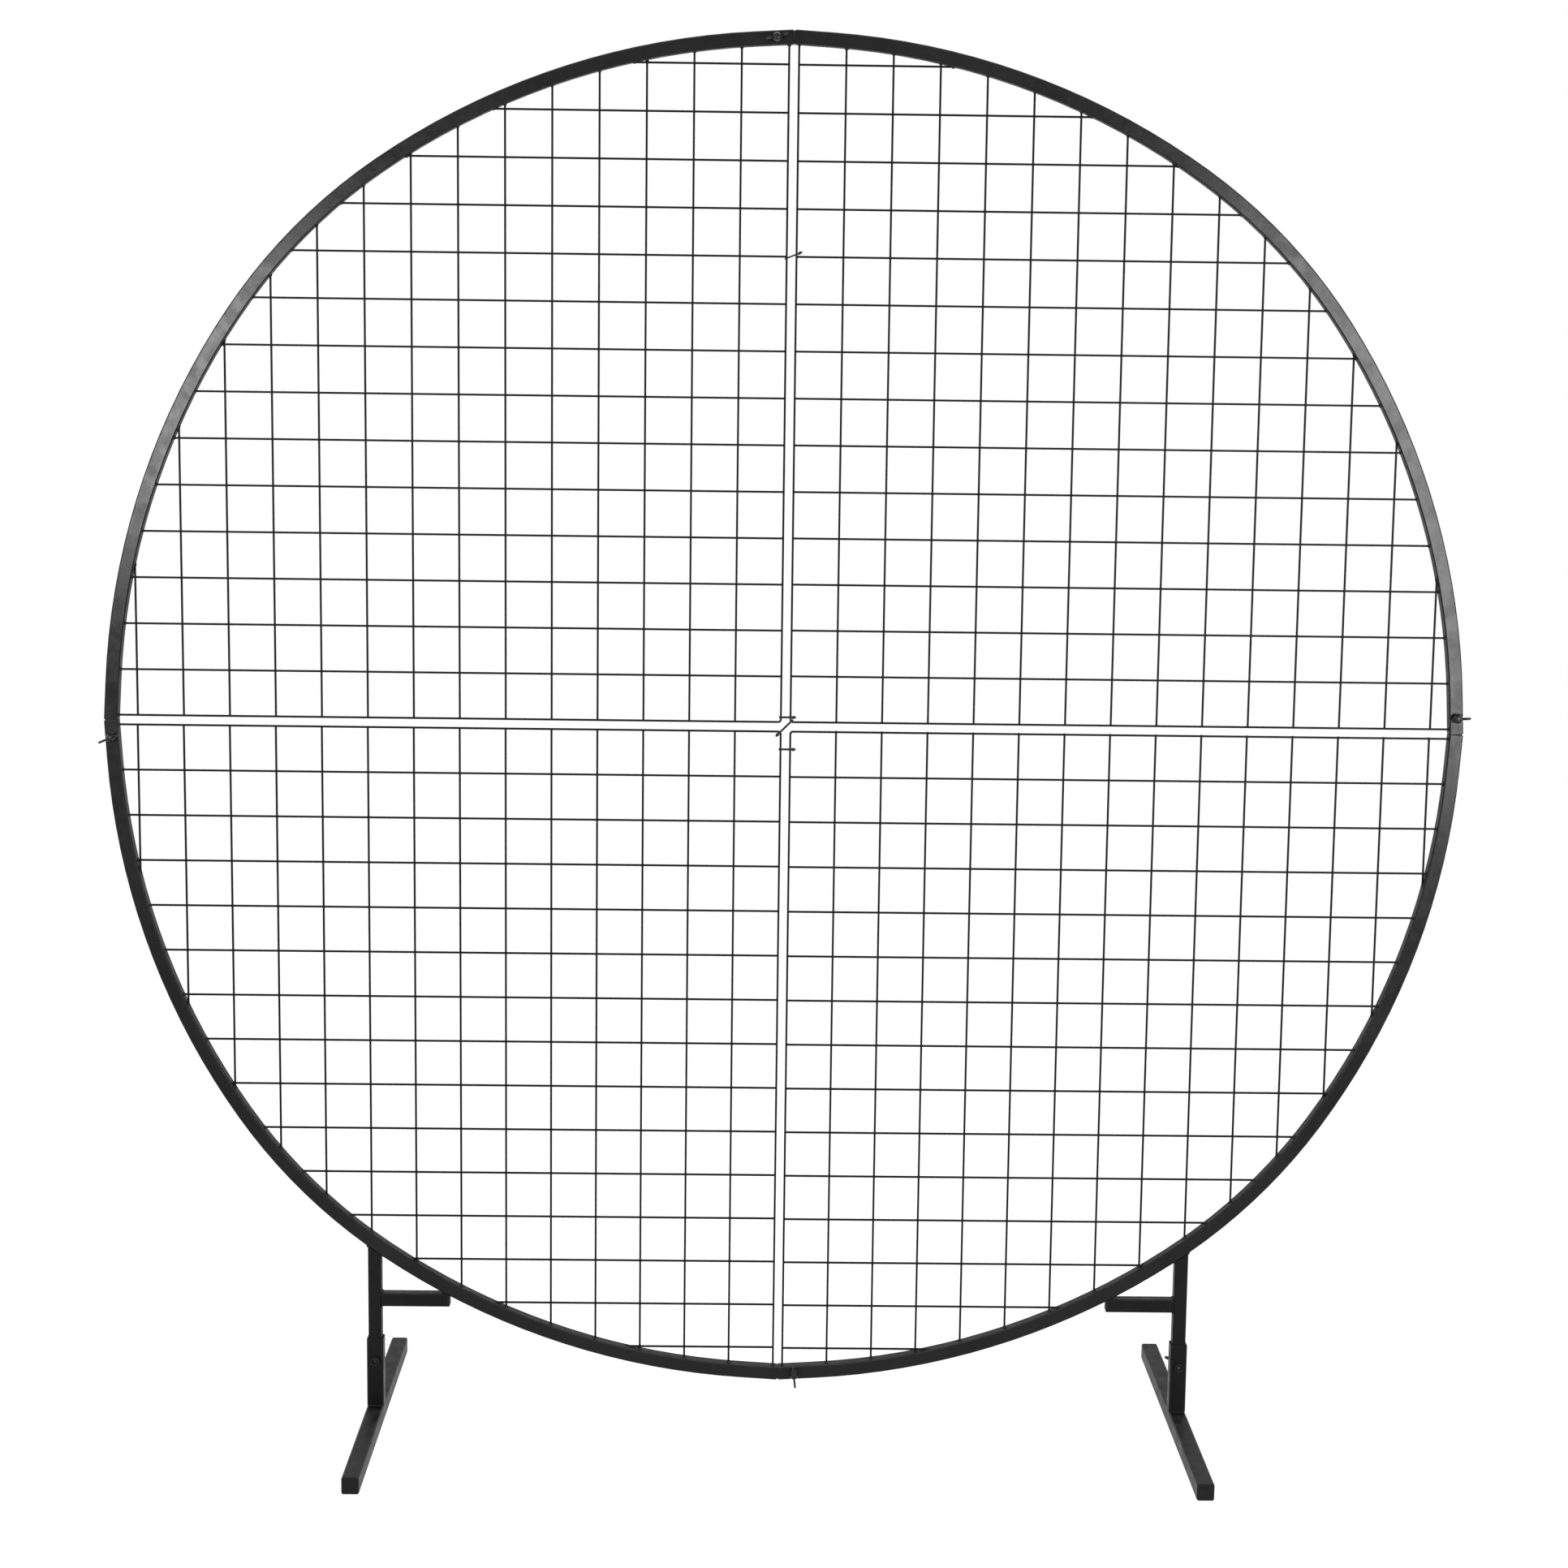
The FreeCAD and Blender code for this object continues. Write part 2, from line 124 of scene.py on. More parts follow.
def aim(yaw, pitch, roll):
    """Turn of a camera that looks along +Y at zero, in degrees."""
    yaw, pitch, roll = (math.radians(a) for a in (yaw, pitch, roll))
    ahead = Vector((math.sin(yaw) * math.cos(pitch), math.cos(yaw) * math.cos(pitch), math.sin(pitch)))
    level = Vector((math.cos(yaw), -math.sin(yaw), 0))
    upright = level.cross(ahead)
    across = level * math.cos(roll) + upright * math.sin(roll)
    up = upright * math.cos(roll) - level * math.sin(roll)
    return Matrix((across, up, -ahead)).transposed()


def add_camera():
    data = bpy.data.cameras.new("camera")
    data.lens = CAMERA_LENS
    data.sensor_width = SENSOR
    data.clip_end = 60
    camera = bpy.data.objects.new("camera", data)
    turn = aim(CAMERA_YAW, CAMERA_PITCH, CAMERA_ROLL)
    camera.matrix_world = Matrix.Translation(CAMERA_AT) @ turn.to_4x4()
    bpy.context.scene.collection.objects.link(camera)
    bpy.context.scene.camera = camera


class Nodes:
    """A node tree with short calls for adding and joining nodes."""

    def __init__(self, tree):
        self.tree = tree
        self.tree.nodes.clear()

    def add(self, kind, inputs=None, **settings):
        node = self.tree.nodes.new(kind)
        for name, value in settings.items():
            setattr(node, name, value)
        for name, value in (inputs or {}).items():
            if isinstance(value, bpy.types.NodeSocket):
                self.tree.links.new(value, node.inputs[name])
            else:
                node.inputs[name].default_value = value
        return node

    def math(self, operation, a, b=0.0):
        return self.add("ShaderNodeMath", {0: a, 1: b}, operation=operation).outputs[0]

    def ramp(self, value, low, high, to_low=0.0, to_high=1.0):
        inputs = {"Value": value, "From Min": low, "From Max": high, "To Min": to_low, "To Max": to_high}
        return self.add("ShaderNodeMapRange", inputs).outputs["Result"]

    def noise(self, place, scale, detail=2.0, roughness=0.5):
        inputs = {"Vector": place, "Scale": scale, "Detail": detail, "Roughness": roughness}
        return self.add("ShaderNodeTexNoise", inputs).outputs["Fac"]

    def mix(self, factor, a, b):
        return self.add("ShaderNodeMix", {0: factor, 6: a, 7: b}, data_type="RGBA").outputs[2]

    def bump(self, height, strength, distance, normal=None):
        inputs = {"Height": height, "Strength": strength, "Distance": distance}
        if normal:
            inputs["Normal"] = normal
        return self.add("ShaderNodeBump", inputs).outputs["Normal"]

    def seen_plainly(self):
        """1 for rays that see the stage itself: from the camera, by reflection or through glass."""
        path = self.add("ShaderNodeLightPath").outputs
        seen = self.math("MAXIMUM", path["Is Camera Ray"], path["Is Glossy Ray"])
        return self.math("MAXIMUM", seen, path["Is Transmission Ray"])


def material_nodes(name):
    material = bpy.data.materials.new(name)
    material.use_nodes = True
    return material, Nodes(material.node_tree)


def floor_material():
    """Pale floor that looks white where it is lit and keeps a soft shadow."""
    material, nodes = material_nodes("stage_floor")
    pale = nodes.add("ShaderNodeBsdfDiffuse", {"Color": (0.8, 0.8, 0.8, 1)}).outputs[0]
    dim = nodes.add("ShaderNodeBsdfDiffuse", {"Color": (0.3, 0.3, 0.3, 1)}).outputs[0]
    glow = nodes.add("ShaderNodeEmission", {"Color": (1, 1, 1, 1), "Strength": 0.85}).outputs[0]
    white = nodes.add("ShaderNodeAddShader", {0: dim, 1: glow}).outputs[0]
    surface = nodes.add("ShaderNodeMixShader", {0: nodes.seen_plainly(), 1: pale, 2: white}).outputs[0]
    nodes.add("ShaderNodeOutputMaterial", {"Surface": surface})
    return material


def add_floor():
    """Floor under and behind the stand; it ends short in front, where the room is dimmer."""
    corners = [(-FLOOR_HALF, FLOOR_FRONT, 0), (FLOOR_HALF, FLOOR_FRONT, 0),
               (FLOOR_HALF, FLOOR_BACK, 0), (-FLOOR_HALF, FLOOR_BACK, 0)]
    mesh = bpy.data.meshes.new("stage_floor")
    mesh.from_pydata(corners, [], [(0, 1, 2, 3)])
    mesh.materials.append(floor_material())
    floor = bpy.data.objects.new("stage_floor", mesh)
    bpy.context.scene.collection.objects.link(floor)


def add_world():
    """White to the camera and in mirrors; the room lights the stand less from the front."""
    world = bpy.data.worlds.new("studio")
    world.use_nodes = True
    nodes = Nodes(world.node_tree)
    direction = nodes.add("ShaderNodeTexCoord").outputs["Generated"]
    depth = nodes.add("ShaderNodeSeparateXYZ", {"Vector": direction}).outputs["Y"]
    behind = nodes.ramp(depth, -0.35, 0.25)
    strength = nodes.math("MAXIMUM", nodes.ramp(behind, 0.0, 1.0, ROOM_FRONT, ROOM_BACK), nodes.seen_plainly())
    light = nodes.add("ShaderNodeBackground", {"Color": (1, 1, 1, 1), "Strength": strength}).outputs[0]
    nodes.add("ShaderNodeOutputWorld", {"Surface": light})
    bpy.context.scene.world = world


def add_panel(name, place, target, size, power):
    """Soft light panel that faces a target."""
    data = bpy.data.lights.new(name, "AREA")
    data.shape = "RECTANGLE"
    data.size, data.size_y = size
    data.energy = power
    panel = bpy.data.objects.new(name, data)
    turn = (Vector(target) - Vector(place)).to_track_quat("-Z", "Y")
    panel.matrix_world = Matrix.Translation(place) @ turn.to_matrix().to_4x4()
    bpy.context.scene.collection.objects.link(panel)


def add_lights():
    middle = (0, 0, 1.0)
    add_panel("panel_left", (-1.45, -3.0, 1.50), middle, (0.75, 0.75), 52)
    add_panel("panel_right", (1.55, -3.0, 1.30), middle, (0.92, 1.46), 92)
    add_panel("panel_top", (0, -0.6, 4.2), middle, (3.0, 2.0), 40)


# Materials

def wear_on_edges(nodes, place, reach):
    """How far the paint is rubbed along the edges, and the normal rounded over them."""
    rounded = nodes.add("ShaderNodeBevel", {"Radius": reach}, samples=6).outputs["Normal"]
    flat = nodes.add("ShaderNodeNewGeometry").outputs["Normal"]
    along = nodes.add("ShaderNodeVectorMath", {0: rounded, 1: flat},
                      operation="DOT_PRODUCT").outputs["Value"]
    edge = nodes.ramp(along, 0.995, 0.90)
    patches = nodes.ramp(nodes.noise(place, 60, 4, 0.6), 0.48, 0.68)
    return nodes.math("MULTIPLY", edge, patches), rounded


def powder_coat(name, dark, light, roughness, gloss, grain, peel, edge_reach, rolled=0.0):
    """Black powder coat: fine orange peel, faint patches, dust and painted light on the top faces, and rubbed
    edges.

    Rolled is how much duller the faces are that the bending rollers have run on.
    """
    material, nodes = material_nodes(name)
    place = nodes.add("ShaderNodeTexCoord").outputs["Object"]
    wear, rounded = wear_on_edges(nodes, place, edge_reach)
    patches = nodes.ramp(nodes.noise(place, 9, 3), 0.35, 0.65)
    colour = nodes.mix(patches, (*dark, 1), (*light, 1))
    upward = nodes.add("ShaderNodeSeparateXYZ", {"Vector": rounded}).outputs["Z"]
    # Upward faces are made lighter in patches: partly dust, partly painted light standing in for the light
    # that falls on the tops
    dust_and_painted_top_light = nodes.math("MULTIPLY", nodes.ramp(upward, 0.5, 1.0),
                      nodes.ramp(nodes.noise(place, 35, 4), 0.40, 0.70, 0.0, 0.35))
    # Pale colour laid on the upward faces: dust, and painted light on the tops
    colour = nodes.mix(dust_and_painted_top_light, colour, (0.055, 0.053, 0.050, 1))
    colour = nodes.mix(nodes.math("MULTIPLY", wear, 0.5), colour, (0.050, 0.050, 0.052, 1))
    handled = nodes.noise(place, 48, 4, 0.6)
    shine = nodes.ramp(handled, 0.35, 0.65, roughness - 0.04, roughness + 0.06)
    shine = nodes.math("ADD", shine, nodes.math("MULTIPLY", dust_and_painted_top_light, 0.4))
    depthwise = nodes.add("ShaderNodeSeparateXYZ", {"Vector": rounded}).outputs["Y"]
    on_rolled = nodes.ramp(nodes.math("ABSOLUTE", depthwise), 0.6, 0.2, 0.0, rolled)
    shine = nodes.math("ADD", shine, on_rolled)
    normal = nodes.bump(nodes.noise(place, grain, 2), peel, 0.0001, rounded)
    normal = nodes.bump(handled, 0.10, 0.0006, normal)
    nodes.add("ShaderNodeOutputMaterial", {"Surface": nodes.add("ShaderNodeBsdfPrincipled", {
        "Base Color": colour, "Roughness": shine, "Normal": normal, "Specular IOR Level": gloss}).outputs[0]})
    return material


def metal(name, base, worn, roughness, gloss, metallic):
    """Steel under a thin black finish, brighter where hands and threads have rubbed it."""
    material, nodes = material_nodes(name)
    place = nodes.add("ShaderNodeTexCoord").outputs["Object"]
    wear, rounded = wear_on_edges(nodes, place, 0.0005)
    pits = nodes.noise(place, 1400, 3)
    colour = nodes.mix(nodes.ramp(pits, 0.4, 0.7), (*base, 1), tuple(c * 1.5 for c in base) + (1,))
    colour = nodes.mix(wear, colour, (*worn, 1))
    shine = nodes.ramp(pits, 0.3, 0.7, roughness - 0.05, roughness + 0.07)
    normal = nodes.bump(pits, 0.25, 0.0001, rounded)
    nodes.add("ShaderNodeOutputMaterial", {"Surface": nodes.add("ShaderNodeBsdfPrincipled", {
        "Base Color": colour, "Roughness": shine, "Normal": normal, "Specular IOR Level": gloss,
        "Metallic": metallic}).outputs[0]})
    return material


def moulded_plastic(name, base, roughness, gloss, grain):
    """Moulded black plastic with a fine eroded grain."""
    material, nodes = material_nodes(name)
    place = nodes.add("ShaderNodeTexCoord").outputs["Object"]
    rounded = nodes.add("ShaderNodeBevel", {"Radius": 0.0004}, samples=6).outputs["Normal"]
    texture = nodes.noise(place, grain, 3, 0.6)
    colour = nodes.mix(nodes.ramp(nodes.noise(place, 120, 3), 0.35, 0.65),
                       (*base, 1), tuple(c * 1.4 for c in base) + (1,))
    shine = nodes.ramp(texture, 0.3, 0.7, roughness - 0.05, roughness + 0.08)
    normal = nodes.bump(texture, 0.3, 0.0001, rounded)
    nodes.add("ShaderNodeOutputMaterial", {"Surface": nodes.add("ShaderNodeBsdfPrincipled", {
        "Base Color": colour, "Roughness": shine, "Normal": normal, "Specular IOR Level": gloss}).outputs[0]})
    return material


def make_materials():
    """The finish of each material slot of the record."""
    return {
        "ring_paint": powder_coat("ring_powder_coat", (0.0050, 0.0050, 0.0053), (0.0085, 0.0085, 0.0088),
                                  0.20, 0.15, 700, 0.25, 0.0008, 0.30),
        "wire_paint": powder_coat("wire_powder_coat", (0.0030, 0.0030, 0.0032), (0.0050, 0.0050, 0.0052),
                                  0.42, 0.08, 1100, 0.25, 0.0006),
        "foot_paint": powder_coat("foot_powder_coat", (0.0035, 0.0035, 0.0037), (0.0060, 0.0060, 0.0062),
                                  0.42, 0.09, 700, 0.30, 0.0010),
        "nut_paint": powder_coat("nut_powder_coat", (0.0060, 0.0060, 0.0063), (0.0110, 0.0110, 0.0114),
                                 0.28, 0.12, 900, 0.20, 0.0005),
        "screw_metal": metal("screw_black_oxide", (0.012, 0.012, 0.013), (0.06, 0.06, 0.06), 0.30, 0.18, 0.25),
        "spigot_steel": metal("spigot_steel", (0.012, 0.012, 0.012), (0.05, 0.05, 0.05), 0.55, 0.30, 0.6),
        "plug_plastic": moulded_plastic("plug_plastic", (0.0060, 0.0060, 0.0063), 0.45, 0.10, 1500),
        "tie_nylon": moulded_plastic("tie_nylon", (0.0060, 0.0060, 0.0063), 0.32, 0.20, 2200),
    }


def dress_nodes(frame, finishes):
    """Give every solid of the frame the finish of its slot."""
    for node in frame["nodes"].values():
        for place in node.material_slots:
            slot = place.material.name.split(".")[0]
            place.material = finishes[slot]


# The ring's outline

def toward(angle):
    """Direction at an angle in the plane of the ring, from +X towards +Z."""
    return Vector((math.cos(angle), 0, math.sin(angle)))


def joint_corner():
    """Outer corner of the right-hand end of the upper right quarter."""
    return Vector((RING_R, 0, SEAM_GAP / 2 + TUBE * math.sin(END_LEAN)))


def ring_bends():
    """Centre, outer radius and last angle of the three bends of the upper right quarter."""
    flank_r = RING_R + FLANK_EXTRA_R
    bend_start = joint_corner() + toward(END_LEAN + math.pi / 2) * END_LENGTH
    right = bend_start - toward(END_LEAN) * flank_r
    change_angle = END_LEAN + FLANK_TURN
    change = toward(change_angle)
    tighter = (right.z - right.x) / (change.x - change.z)
    middle = right + change * tighter
    top = Vector((right.z, 0, right.x))
    square = math.pi / 2
    return [(right, flank_r, change_angle), (middle, flank_r - tighter, square - change_angle),
            (top, flank_r, square - END_LEAN)]


def outline_above(x, inset):
    """Point above x on the ring's outline drawn in by inset, and the outward direction there."""
    for centre, radius, end in ring_bends():
        if x >= (centre + toward(end) * (radius - inset)).x:
            point = Vector((x, 0, centre.z + math.sqrt((radius - inset) ** 2 - (x - centre.x) ** 2)))
            return point, (point - centre).normalized()
    outward = toward(math.pi / 2 - END_LEAN)
    corner = joint_corner()
    start = Vector((corner.z, 0, corner.x)) - outward * inset
    return Vector((x, 0, start.z + (start.x - x) * outward.x / outward.z)), outward


def ring_height(x, inset):
    """Height above the middle of the ring, at x, of its outline drawn in by inset."""
    return outline_above(x, inset)[0].z


def quarter_turn(quarters):
    """Carries the upper right panel, drawn about the origin, to its place in the ring."""
    return Matrix.Translation((0, 0, RING_Z)) @ Matrix.Rotation(-quarters * math.pi / 2, 4, "Y")


# Meshes

def add_piece(name, mesh, body, finish, smooth=True):
    """A new piece of the object, from a bmesh, that rides on a body."""
    bmesh.ops.recalc_face_normals(mesh, faces=mesh.faces)
    data = bpy.data.meshes.new(name)
    mesh.to_mesh(data)
    mesh.free()
    data.materials.append(finish)
    if smooth:
        data.shade_smooth()
    piece = bpy.data.objects.new(name, data)
    bpy.context.scene.collection.objects.link(piece)
    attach(piece, body)
    return piece


def add_blob(mesh, place, size, seed, rough=0.18):
    """Lump of weld metal: a ball drawn out to a size and dented unevenly."""
    made = bmesh.ops.create_icosphere(mesh, subdivisions=2, radius=1.0)
    for vert in made["verts"]:
        dent = 1 + rough * noise.noise(vert.co * 1.7 + Vector((seed, 0.37 * seed, 0)))
        vert.co = place @ Vector(c * s * dent for c, s in zip(vert.co, size))


def bead_path(start, end, step=0.0007):
    count = max(2, int((end - start).length / step))
    return [start.lerp(end, i / count) for i in range(count + 1)]


def add_bead(mesh, start, end, radius, seed, ripple=0.0028, around=10):
    """Weld bead from start to end, with the small scales that the welding leaves."""
    path = bead_path(Vector(start), Vector(end))
    along = (path[-1] - path[0]).normalized()
    side = along.orthogonal().normalized()
    other = along.cross(side)
    rings = []
    for i, point in enumerate(path):
        distance = (point - path[0]).length
        scale = abs(math.sin(math.pi * distance / ripple))
        end_fade = min(1.0, (min(i, len(path) - 1 - i) + 0.35) / 2.5)
        wander = 0.12 * noise.noise(Vector((distance * 90, seed, 0)))
        r = radius * (0.86 + 0.14 * scale + wander) * math.sqrt(end_fade)
        turns = [2 * math.pi * k / around for k in range(around)]
        rings.append([mesh.verts.new(point + r * (side * math.cos(a) + other * math.sin(a)))
                      for a in turns])
    for low, high in zip(rings, rings[1:]):
        for k in range(around):
            mesh.faces.new((low[k], low[(k + 1) % around], high[(k + 1) % around], high[k]))
    mesh.faces.new(rings[0])
    mesh.faces.new(rings[-1])


# Wire mesh details

def wire_crossings():
    """Where upright and level wires of the upper right panel cross."""
    places = [EDGE_FROM_SEAM + (i + 1) * WIRE_PITCH for i in range(WIRES_EACH_WAY)]
    return [(x, z) for x in places for z in places if z < ring_height(x, TUBE) - WIRE_R]


def add_crossing_welds(finish):
    """The small flash round each spot weld where two wires cross."""
    size = (WIRE_R * 1.22, WIRE_R * 0.95, WIRE_R * 1.22)
    for name, quarters in PANELS.items():
        mesh = bmesh.new()
        turn = quarter_turn(quarters)
        for i, (x, z) in enumerate(wire_crossings()):
            add_blob(mesh, turn @ Matrix.Translation((x, 0, z)), size, 3.1 * i + quarters)
        add_piece("crossing_welds_" + name, mesh, "stand", finish)


def wire_ends():
    """Where the wires of the upper right panel meet the ring: place, and +1 or -1 for the layer."""
    places = [EDGE_FROM_SEAM + i * WIRE_PITCH for i in range(WIRES_EACH_WAY + 1)]
    uprights = [(x, -WIRE_R, ring_height(x, TUBE)) for x in places]
    level_y = [-WIRE_R] + [WIRE_R] * WIRES_EACH_WAY
    return uprights + [(z, y, x) for (x, _, z), y in zip(uprights, level_y)]


def add_end_welds(finish):
    """The lump of weld at each place where a wire meets the ring."""
    for name, quarters in PANELS.items():
        mesh = bmesh.new()
        turn = quarter_turn(quarters)
        for i, (x, y, z) in enumerate(wire_ends()):
            seed = 5.3 * i + 11 * quarters
            swell = 1 + 0.55 * max(0.0, noise.noise(Vector((seed, 2.0, 7.0))) + 0.1)
            lean = math.atan2(z, x)
            frame = turn @ Matrix.Translation((x, y, z)) @ Matrix.Rotation(-lean, 4, "Y")
            add_blob(mesh, frame, (0.0022 * swell, 0.0024 * swell, 0.0026 * swell), seed, 0.35)
        add_piece("wire_end_welds_" + name, mesh, "stand", finish)


# Frame welds

def brace_z():
    """Height of the middle of the braces."""
    end_x = POST_X - TUBE / 2 - BRACE_LENGTH
    return RING_Z - ring_height(end_x, 0) + BRACE_BITE - TUBE / 2


def brace_meets_ring():
    """Distance from the middle at which the ring reaches the top face of a brace."""
    low, high = POST_X - TUBE / 2 - BRACE_LENGTH, POST_X - TUBE / 2
    for _ in range(40):
        middle = (low + high) / 2
        if RING_Z - ring_height(middle, 0) < brace_z() + TUBE / 2:
            low = middle
        else:
            high = middle
    return low


def across(mesh, side, x, z, half_width, radius, seed):
    """Bead that runs from front to back at a corner between two tubes."""
    add_bead(mesh, (side * x, -half_width, z), (side * x, half_width, z), radius, seed)


def add_frame_welds(finish):
    """Weld beads in the corners of posts, braces and sockets."""
    half = TUBE / 2
    width = half - BEAD_INSET
    for name, side in SIDES.items():
        mesh = bmesh.new()
        for i, x in enumerate((POST_X - half, POST_X + half)):
            across(mesh, side, x, RING_Z - ring_height(x, 0), width, POST_BEAD_R, 2.0 + i)
        for i, z in enumerate((brace_z() - half, brace_z() + half)):
            across(mesh, side, POST_X - half, z, width, BRACE_BEAD_R, 5.0 + i)
        across(mesh, side, brace_meets_ring(), brace_z() + half, width, RING_BEAD_R, 8.0)
        reach = FOOT_TUBE / 2 - FOOT_BEAD_INSET
        for i, y in enumerate((-FOOT_TUBE / 2, FOOT_TUBE / 2)):
            start = (side * POST_X - reach, y, FOOT_TUBE)
            end = (side * POST_X + reach, y, FOOT_TUBE)
            add_bead(mesh, start, end, FOOT_BEAD_R, 11.0 + i)
        add_piece("frame_welds_" + name, mesh, "stand", finish)


# Nuts and wing screws

def add_nut(mesh, place, around=48):
    """Hexagon nut on XY with its corners turned down at the top and its bore's mouth opened."""
    chamfer = math.tan(math.radians(30))
    face_r = NUT_FLATS / 2 * 0.97
    rings = {"bore_low": [], "bore_high": [], "mouth": [], "face": [], "rim": [], "foot": []}
    for k in range(around):
        a = 2 * math.pi * k / around
        to_flat = (a + math.pi / 6) % (math.pi / 3) - math.pi / 6
        hex_r = NUT_FLATS / 2 / math.cos(to_flat)
        drop = (hex_r - face_r) * chamfer
        places = {
            "bore_low": (NUT_BORE_R, 0.0), "bore_high": (NUT_BORE_R, NUT_THICK - 0.0006),
            "mouth": (NUT_BORE_R + 0.0006, NUT_THICK), "face": (face_r, NUT_THICK),
            "rim": (hex_r, NUT_THICK - drop), "foot": (hex_r, 0.0),
        }
        for name, (r, z) in places.items():
            rings[name].append(mesh.verts.new(place @ Vector((r * math.cos(a), r * math.sin(a), z))))
    order = ["bore_low", "bore_high", "mouth", "face", "rim", "foot", "bore_low"]
    for inner, outer in zip(order, order[1:]):
        low, high = rings[inner], rings[outer]
        for k in range(around):
            mesh.faces.new((low[k], low[(k + 1) % around], high[(k + 1) % around], high[k]))


def facing(place, direction, turn):
    """Stands a shape's Z axis on a face: direction is -1 for the front and 1 for the back."""
    tip = Matrix.Rotation(-direction * math.pi / 2, 4, "X")
    return Matrix.Translation(place) @ Matrix.Rotation(-math.radians(turn), 4, "Y") @ tip


def joint_places():
    """Where the screw of each ring joint crosses the middle of the tube."""
    middle = joint_corner() - toward(END_LEAN) * TUBE / 2
    start = middle + toward(END_LEAN + math.pi / 2) * SCREW_FROM_SEAM
    return {name: quarter_turn(quarters) @ start for name, quarters in JOINTS.items()}


def add_nuts(finish):
    mesh = bmesh.new()
    for name, place in joint_places().items():
        turn = 30 + 90 * JOINTS[name]
        add_nut(mesh, facing(place + Vector((0, -TUBE / 2, 0)), -1, turn))
    piece = add_piece("joint_nuts_turned_down", mesh, "stand", finish, False)
    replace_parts(piece, "joint_nuts")
    mesh = bmesh.new()
    for side in SIDES.values():
        add_nut(mesh, facing((side * POST_X, -FOOT_TUBE / 2, FOOT_SCREW_Z), -1, 0))
    piece = add_piece("foot_nuts_turned_down", mesh, "stand", finish, False)
    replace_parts(piece, "foot_nuts")


def add_thread(mesh, place, length, around=24, rows=6):
    """Threaded shank down the Z axis from XY, with a short plain point."""
    step = THREAD_PITCH / rows
    root_r = SCREW_R * 0.86
    crest_r = SCREW_R * 0.985
    rings = []
    count = int(length / step)
    for i in range(count + 1):
        z = -i * step
        point = min(1.0, (length + z) / 0.0008)
        ring = []
        for k in range(around):
            a = 2 * math.pi * k / around
            phase = (z / THREAD_PITCH + k / around) % 1.0
            ridge = 1 - abs(2 * phase - 1)
            r = (root_r + (crest_r - root_r) * ridge) * (0.8 + 0.2 * point)
            ring.append(mesh.verts.new(place @ Vector((r * math.cos(a), r * math.sin(a), z))))
        rings.append(ring)
    for low, high in zip(rings, rings[1:]):
        for k in range(around):
            mesh.faces.new((low[k], low[(k + 1) % around], high[(k + 1) % around], high[k]))
    mesh.faces.new(rings[-1])


HUB_PROFILE = [(0.0000, 0.0000), (0.0058, 0.0000), (0.0064, 0.0004), (0.0065, 0.0012), (0.0060, 0.0030),
               (0.0052, 0.0056), (0.0047, 0.0070), (0.0042, 0.0077), (0.0034, 0.0080), (0.0000, 0.0080)]


def add_hub(mesh, place, around=32):
    """Round hub of a wing screw, tapered and rounded over at the top."""
    rings = []
    for r, z in HUB_PROFILE[1:-1]:
        turns = [2 * math.pi * k / around for k in range(around)]
        rings.append([mesh.verts.new(place @ Vector((r * math.cos(a), r * math.sin(a), z)))
                      for a in turns])
    for low, high in zip(rings, rings[1:]):
        for k in range(around):
            mesh.faces.new((low[k], low[(k + 1) % around], high[(k + 1) % around], high[k]))
    mesh.faces.new(rings[0])
    mesh.faces.new(rings[-1])


def wing_outline():
    """Outline (x, z) of one wing: a stem that flares up and out to a round tip."""
    tip_x, tip_z, tip_r = 0.0122, 0.0118, 0.0042
    points = [(0.0030, 0.0022), (0.0062, 0.0030), (0.0095, 0.0052), (0.0128, 0.0078)]
    for i in range(11):
        a = math.radians(-62 + 22.4 * i)
        points.append((tip_x + tip_r * math.cos(a), tip_z + tip_r * math.sin(a)))
    return points + [(0.0070, 0.0086), (0.0055, 0.0077), (0.0030, 0.0076)]


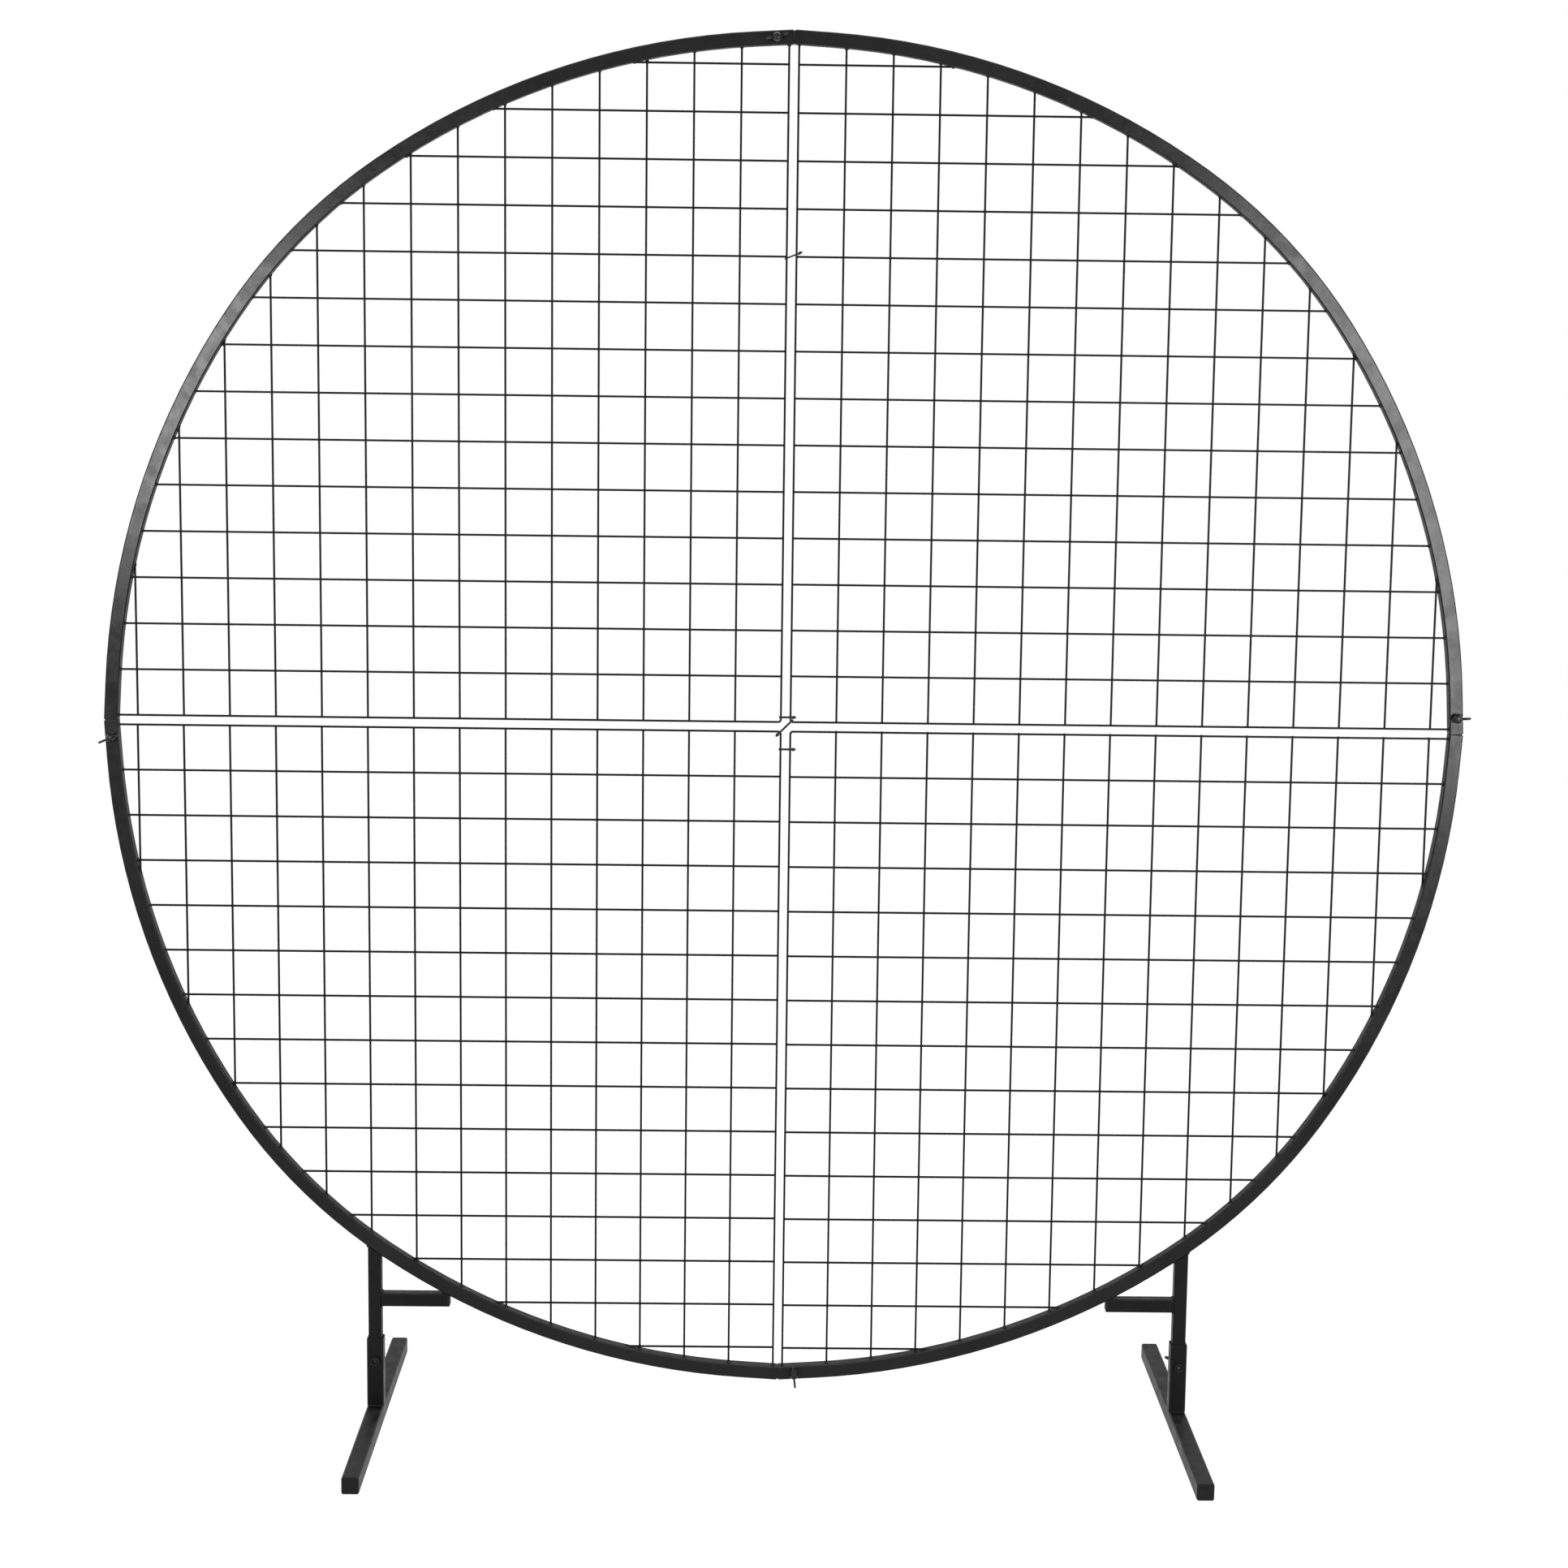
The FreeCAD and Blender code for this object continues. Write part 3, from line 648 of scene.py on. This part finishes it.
def add_wing(mesh, place, side):
    """One cast wing, with its edges rounded."""
    front = [mesh.verts.new((side * x, -WING_HALF, z)) for x, z in wing_outline()]
    back = [mesh.verts.new((side * x, WING_HALF, z)) for x, z in wing_outline()]
    count = len(front)
    faces = [mesh.faces.new(front), mesh.faces.new(back)]
    for k in range(count):
        faces.append(mesh.faces.new((front[k], front[(k + 1) % count], back[(k + 1) % count], back[k])))
    rims = {edge for face in faces[:2] for edge in face.edges}
    made = bmesh.ops.bevel(mesh, geom=list(rims), offset=WING_ROUND, segments=3, affect="EDGES",
                           profile=0.5)
    verts = {vert for face in made["faces"] for vert in face.verts}
    verts |= {vert for face in faces if face.is_valid for vert in face.verts}
    for vert in verts:
        vert.co = place @ vert.co


def add_wing_screw(name, node, body, place, length, finish):
    mesh = bmesh.new()
    add_hub(mesh, place)
    add_thread(mesh, place, length)
    for side in (-1, 1):
        add_wing(mesh, place, side)
    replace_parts(add_piece(name, mesh, body, finish), node)


def add_wing_screws(finish):
    hub_y = -TUBE / 2 - NUT_THICK - JOINT_STAND_OFF
    for name, place in joint_places().items():
        stand = facing(place + Vector((0, hub_y, 0)), -1, JOINT_WING_TURNS[name])
        add_wing_screw("cast_wing_screw_" + name, "joint_wing_screw_" + name, "wing_screw_" + name,
                       stand, -SPIGOT_FACE - hub_y, finish)
    hub_y = FOOT_TUBE / 2 + FOOT_HUB_GAP
    length = hub_y + FOOT_TUBE / 2 + NUT_THICK - FOOT_TIP_INSET
    for name, side in SIDES.items():
        stand = facing((side * POST_X, hub_y, FOOT_SCREW_Z), 1, FOOT_WING_TURNS[name])
        add_wing_screw("cast_foot_screw_" + name, "foot_wing_screw_" + name, "foot_screw_" + name,
                       stand, length, finish)


def main():
    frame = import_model()
    bpy.context.scene.view_settings.view_transform = "Standard"
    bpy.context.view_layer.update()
    finishes = make_materials()
    dress_nodes(frame, finishes)
    add_camera()
    add_floor()
    add_world()
    add_lights()
    add_crossing_welds(finishes["wire_paint"])
    add_end_welds(finishes["ring_paint"])
    add_frame_welds(finishes["foot_paint"])
    add_nuts(finishes["nut_paint"])
    add_wing_screws(finishes["screw_metal"])


main()
